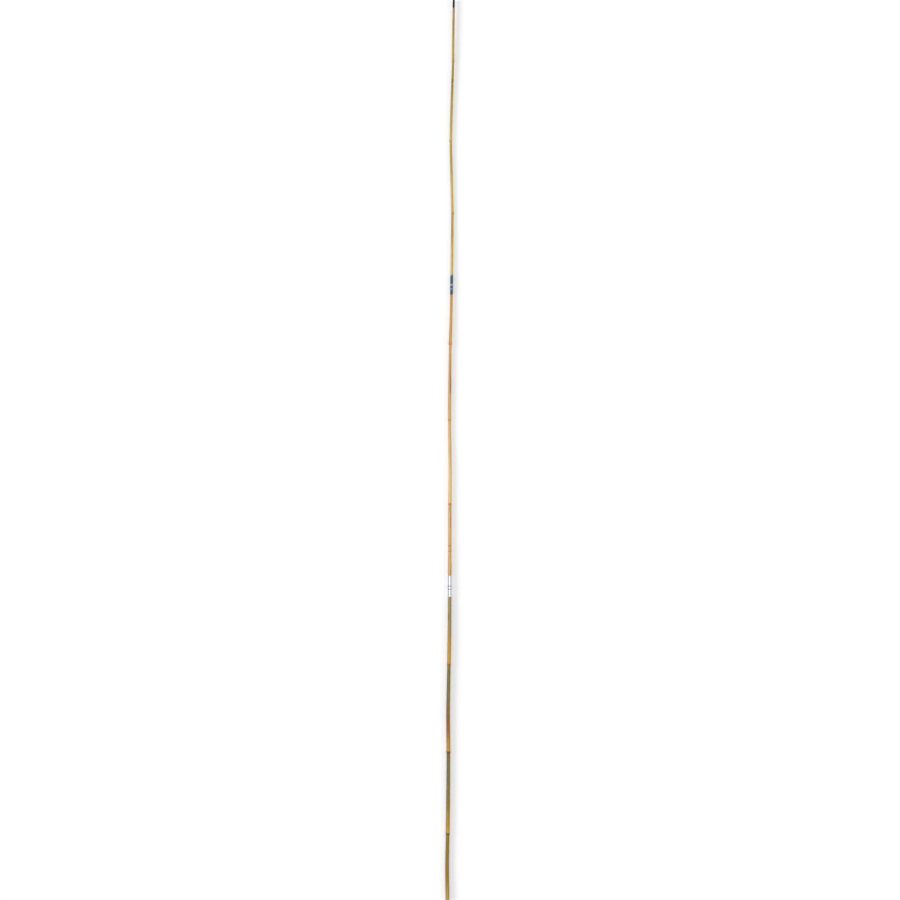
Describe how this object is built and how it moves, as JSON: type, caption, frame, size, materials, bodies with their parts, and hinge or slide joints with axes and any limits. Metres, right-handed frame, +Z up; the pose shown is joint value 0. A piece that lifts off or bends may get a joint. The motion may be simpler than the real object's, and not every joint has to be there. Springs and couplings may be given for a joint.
{
  "type": "bamboo cane",
  "caption": "Long slim bamboo cane lying down, joined from culm sections by plain ferrules, with a dark cap on its thin end.",
  "frame": {"origin": "on the floor, under the middle of the cane's outline", "axes": "+Y along the cane towards its thin end, +Z up from the floor it lies on, +X to the side"},
  "size_m": [0.032, 3, 0.0153],
  "materials": {
    "butt_culm": "olive and gold bamboo skin, satin",
    "middle_culm": "orange-tan bamboo skin, satin",
    "tip_culm": "straw-yellow bamboo skin, satin",
    "pale_ferrule": "satin, lightly scuffed",
    "blue_ferrule": "satin paint, worn pale on the rings",
    "dark_cap": "smooth, matte"
  },
  "bodies": {
    "root": {"butt_section": "butt_culm", "middle_section": "middle_culm", "tip_section": "tip_culm", "lower_joint_socket": "pale_ferrule", "lower_joint_collar": "pale_ferrule", "upper_joint_socket": "blue_ferrule", "upper_joint_collar": "blue_ferrule", "tip_cap": "dark_cap"}
  },
  "joints": []
}
